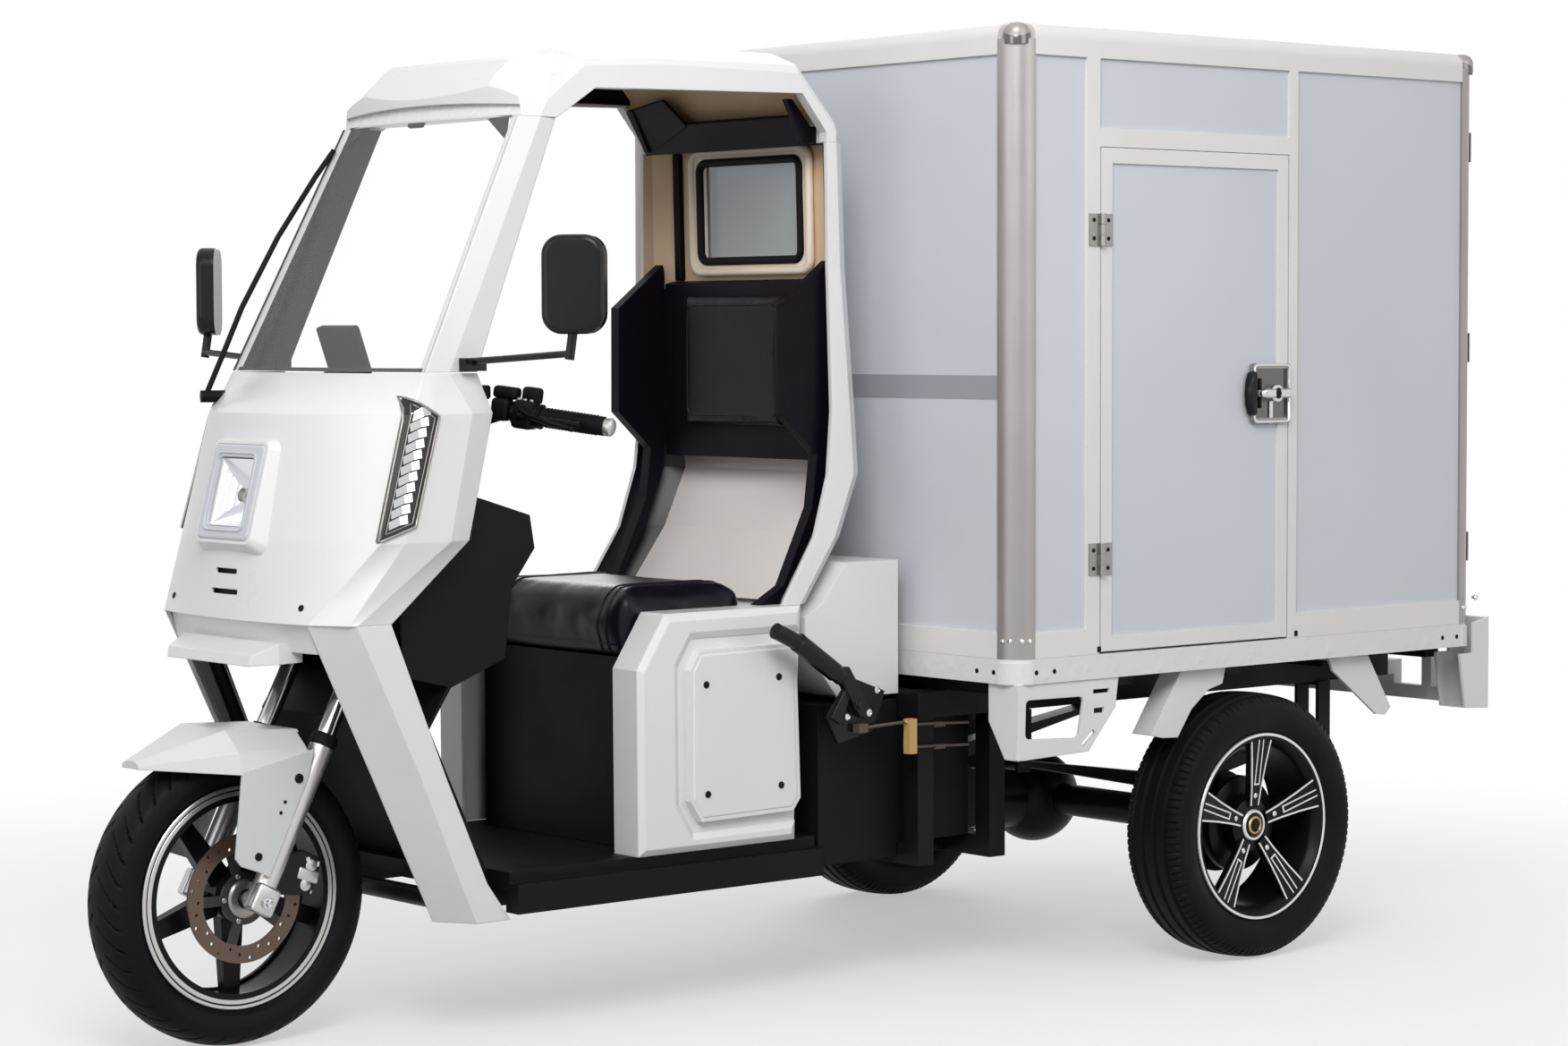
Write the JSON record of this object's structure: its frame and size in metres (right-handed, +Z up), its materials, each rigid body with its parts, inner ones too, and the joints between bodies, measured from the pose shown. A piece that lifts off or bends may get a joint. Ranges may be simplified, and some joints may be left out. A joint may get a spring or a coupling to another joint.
{
  "type": "electric cargo tricycle",
  "caption": "Small electric delivery tricycle with a roofed driver's cab, handlebar steering and a closed cargo box with side and rear doors.",
  "frame": {"origin": "on the ground, midway between the front and rear ends and on the middle line", "axes": "+X forward, +Y to the vehicle's left, +Z up"},
  "size_m": [2.947, 1.2428, 1.788],
  "materials": {
    "white_body": "gloss white moulded panels",
    "white_box": "white laminate sheet",
    "white_section": "white coated aluminium sections",
    "white_steel": "white painted steel",
    "door_grey": "satin grey panels in white frames",
    "black_frame": "black painted steel",
    "black_plastic": "black textured mouldings",
    "seat_vinyl": "black seat covering",
    "glazing": "clear safety glass",
    "lamp_chrome": "bright lamp bowl",
    "lamp_rim": "pale grey lamp rim",
    "lining": "beige lining",
    "lamp_lens": "clear lamp covers",
    "rear_lens": "red lamp covers",
    "silver": "silver painted castings",
    "chrome": "hard chrome",
    "steel": "bare and zinc plated steel",
    "black_metal": "black painted metal",
    "brass": "yellow passivated steel",
    "grip_rubber": "black grips",
    "tyre": "black tyre rubber"
  },
  "bodies": {
    "vehicle": {"chassis_frame": "black_frame", "rear_axle": "black_frame", "leaf_springs": "black_frame", "battery_box": "black_plastic", "rear_bumper": "white_steel", "cargo_tray": "white_steel", "corner_posts": "white_section", "box_walls": "white_box", "box_roof": "white_box", "box_trim": "white_section", "door_hinges_fixed": "steel", "side_steps": "white_steel", "headlamp_bowl": "lamp_chrome", "roof_lining": "lining", "mudguard_stays": "white_steel", "corner_brackets": "white_steel", "rear_lamps": "rear_lens", "cab_legs": "white_body", "cab_pillars": "white_body", "cab_back_panel": "white_body", "cab_roof": "white_body", "back_window": "glazing", "back_window_frame": "black_plastic", "back_trim": "black_plastic", "backrest_pad": "seat_vinyl", "front_fascia": "white_body", "windscreen": "glazing", "wiper": "black_plastic", "headlamp_housing": "lamp_rim", "headlamp_lens": "lamp_lens", "side_lamps": "lamp_lens", "leg_shield": "black_plastic", "floor_pan": "black_plastic", "seat_pods": "white_body", "seat_base": "black_plastic", "seat_cushion": "seat_vinyl", "rear_fairing": "white_body", "parking_brake": "black_frame", "brake_equaliser": "brass", "mirrors": "black_plastic"},
    "steering": {"fork_lowers": "silver", "fork_uppers": "chrome", "steering_stem": "black_metal", "front_fender": "white_body", "brake_caliper": "black_metal", "handlebar": "black_metal", "handlebar_grips": "grip_rubber"},
    "front_wheel": {"front_rim": "silver", "front_tyre": "tyre", "brake_disc": "steel"},
    "rear_wheel_left": {"rear_rim_left": "silver", "rear_tyre_left": "tyre"},
    "rear_wheel_right": {"rear_rim_right": "silver", "rear_tyre_right": "tyre"},
    "side_door": {"side_door": "door_grey", "side_door_fittings": "steel"},
    "rear_door_left": {"rear_door_left": "door_grey", "rear_door_left_fittings": "steel"},
    "rear_door_right": {"rear_door_right": "door_grey", "rear_door_right_fittings": "steel"}
  },
  "joints": [
    {"name": "steer", "type": "hinge", "parent": "vehicle", "child": "steering", "pos_m": [1.18777, 0, 0.24538], "axis": [-0.454, 0, 0.891], "range_deg": [-30, 30]},
    {"name": "front_wheel_spin", "type": "hinge", "parent": "steering", "child": "front_wheel", "pos_m": [1.2145, 0, 0.259], "axis": [0, 1, 0], "continuous": true},
    {"name": "rear_wheel_left_spin", "type": "hinge", "parent": "vehicle", "child": "rear_wheel_left", "pos_m": [-0.7695, 0.524, 0.259], "axis": [0, 1, 0], "continuous": true},
    {"name": "rear_wheel_right_spin", "type": "hinge", "parent": "vehicle", "child": "rear_wheel_right", "pos_m": [-0.7695, -0.524, 0.259], "axis": [0, 1, 0], "continuous": true},
    {"name": "side_door_swing", "type": "hinge", "parent": "vehicle", "child": "side_door", "pos_m": [-0.3245, 0.5865, 1.1], "axis": [0, 0, -1], "range_deg": [0, 170]},
    {"name": "rear_door_left_swing", "type": "hinge", "parent": "vehicle", "child": "rear_door_left", "pos_m": [-1.423, 0.53, 1.19], "axis": [0, 0, -1], "range_deg": [0, 175]},
    {"name": "rear_door_right_swing", "type": "hinge", "parent": "vehicle", "child": "rear_door_right", "pos_m": [-1.423, -0.53, 1.19], "axis": [0, 0, 1], "range_deg": [0, 175]}
  ]
}
